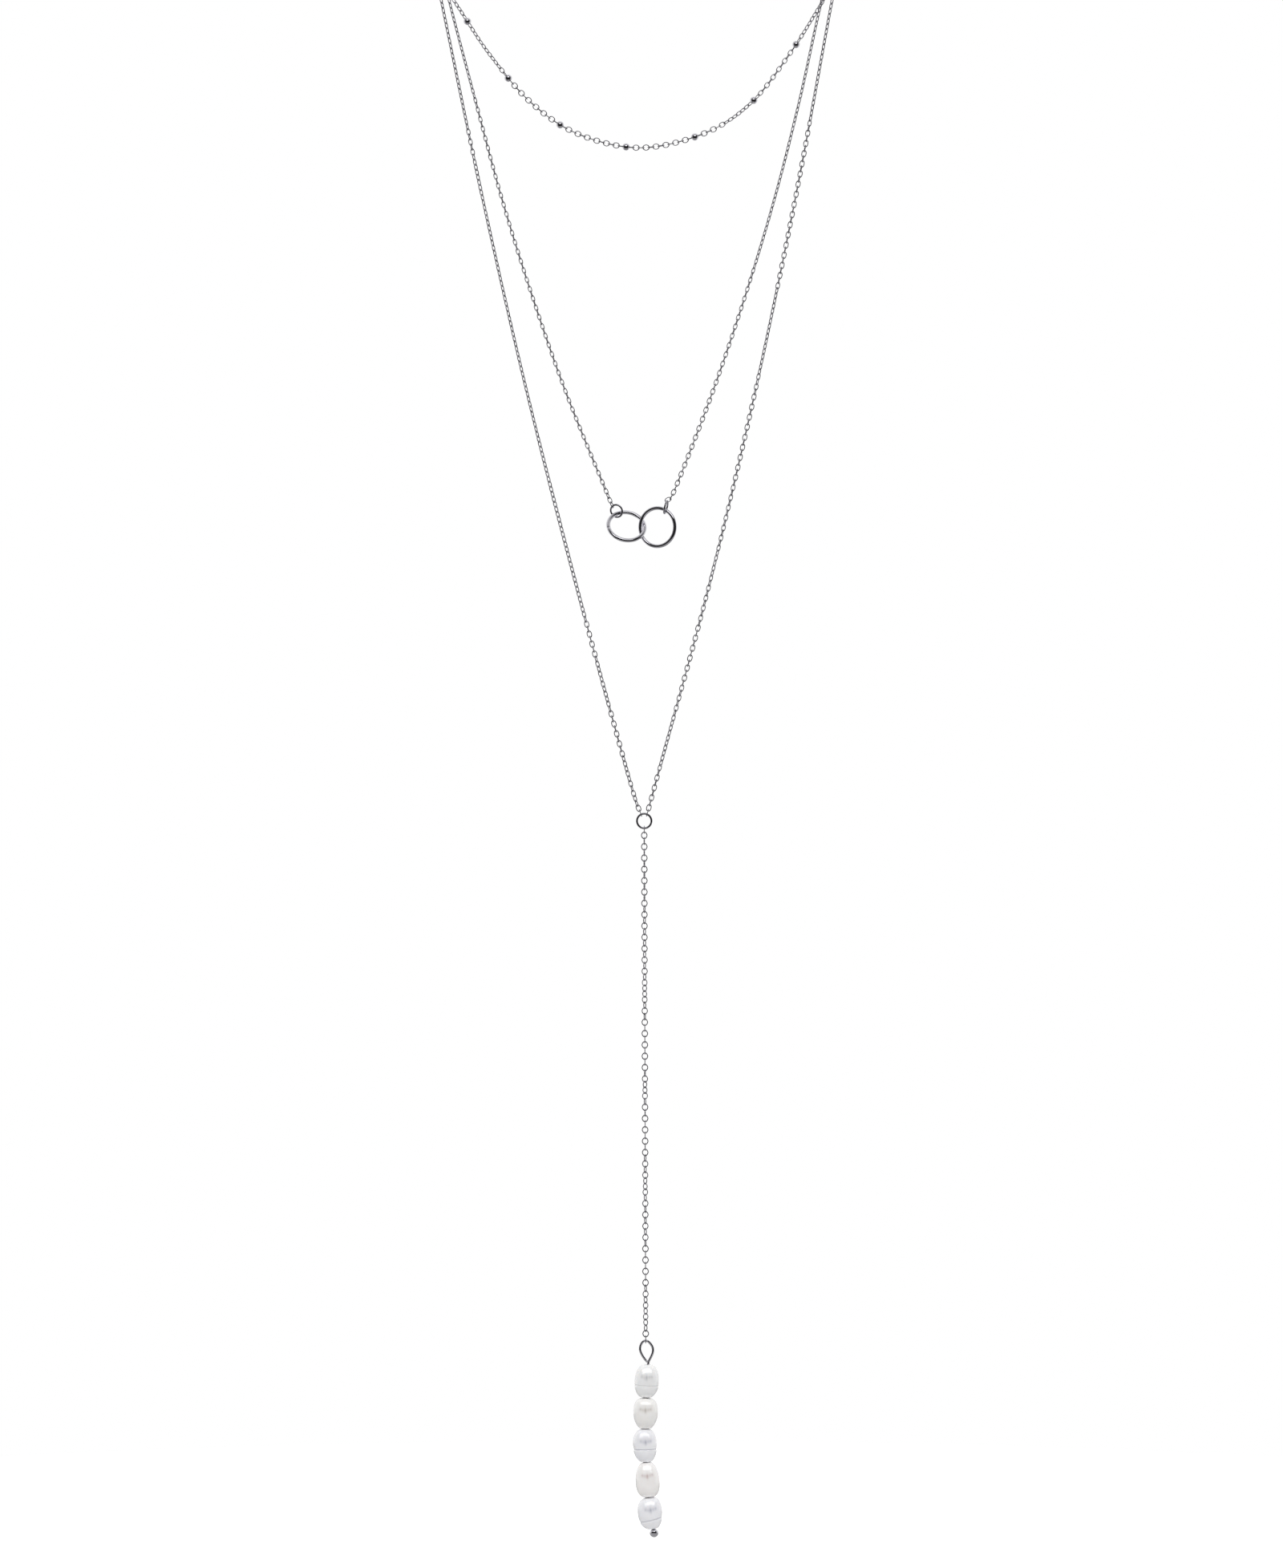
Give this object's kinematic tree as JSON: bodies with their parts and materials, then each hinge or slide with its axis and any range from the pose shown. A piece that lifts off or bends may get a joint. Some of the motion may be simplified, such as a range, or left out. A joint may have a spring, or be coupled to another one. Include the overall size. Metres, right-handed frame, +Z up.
{
  "type": "lariat necklace",
  "caption": "Layered silver lariat necklace: a beaded short strand, a middle strand with two linked rings, and a long strand with a chain drop ending in a bar of rice pearls.",
  "frame": {"origin": "middle of the neck loop at the height of the nape", "axes": "+Z up, +X to the right as seen from the front, +Y to the back; the strands hang at -Y"},
  "size_m": [0.1172, 0.1114, 0.3687],
  "materials": {
    "chain_silver": "bright silver chain",
    "polished_silver": "polished silver",
    "pearl_white": "white nacre",
    "pearl_ivory": "ivory nacre",
    "pearl_cool": "cool white nacre",
    "pearl_pink": "pinkish cream nacre"
  },
  "bodies": {
    "strands": {"short_chain": "chain_silver", "station_beads": "polished_silver", "middle_chain_left": "chain_silver", "middle_chain_right": "chain_silver", "ring_left": "polished_silver", "ring_right": "polished_silver", "jump_ring_left": "polished_silver", "jump_ring_right": "polished_silver", "long_chain_left": "chain_silver", "long_chain_right": "chain_silver", "y_ring": "polished_silver", "drop_chain": "chain_silver", "end_ring_left": "polished_silver", "end_ring_right": "polished_silver", "clasp": "polished_silver"},
    "end_link": {"drop_end_link": "chain_silver"},
    "pearl_drop": {"head_pin": "polished_silver", "pearl_1": "pearl_white", "pearl_2": "pearl_ivory", "pearl_3": "pearl_cool", "pearl_4": "pearl_pink", "pearl_5": "pearl_cool"}
  },
  "joints": [
    {"name": "drop_swing_fore_aft", "type": "hinge", "parent": "strands", "child": "end_link", "pos_m": [0.0018, -0.055, -0.32664], "axis": [1, 0, 0], "range_deg": [-60, 60]},
    {"name": "drop_swing_side", "type": "hinge", "parent": "end_link", "child": "pearl_drop", "pos_m": [0.0018, -0.055, -0.32776], "axis": [0, 1, 0], "range_deg": [-45, 45]}
  ]
}
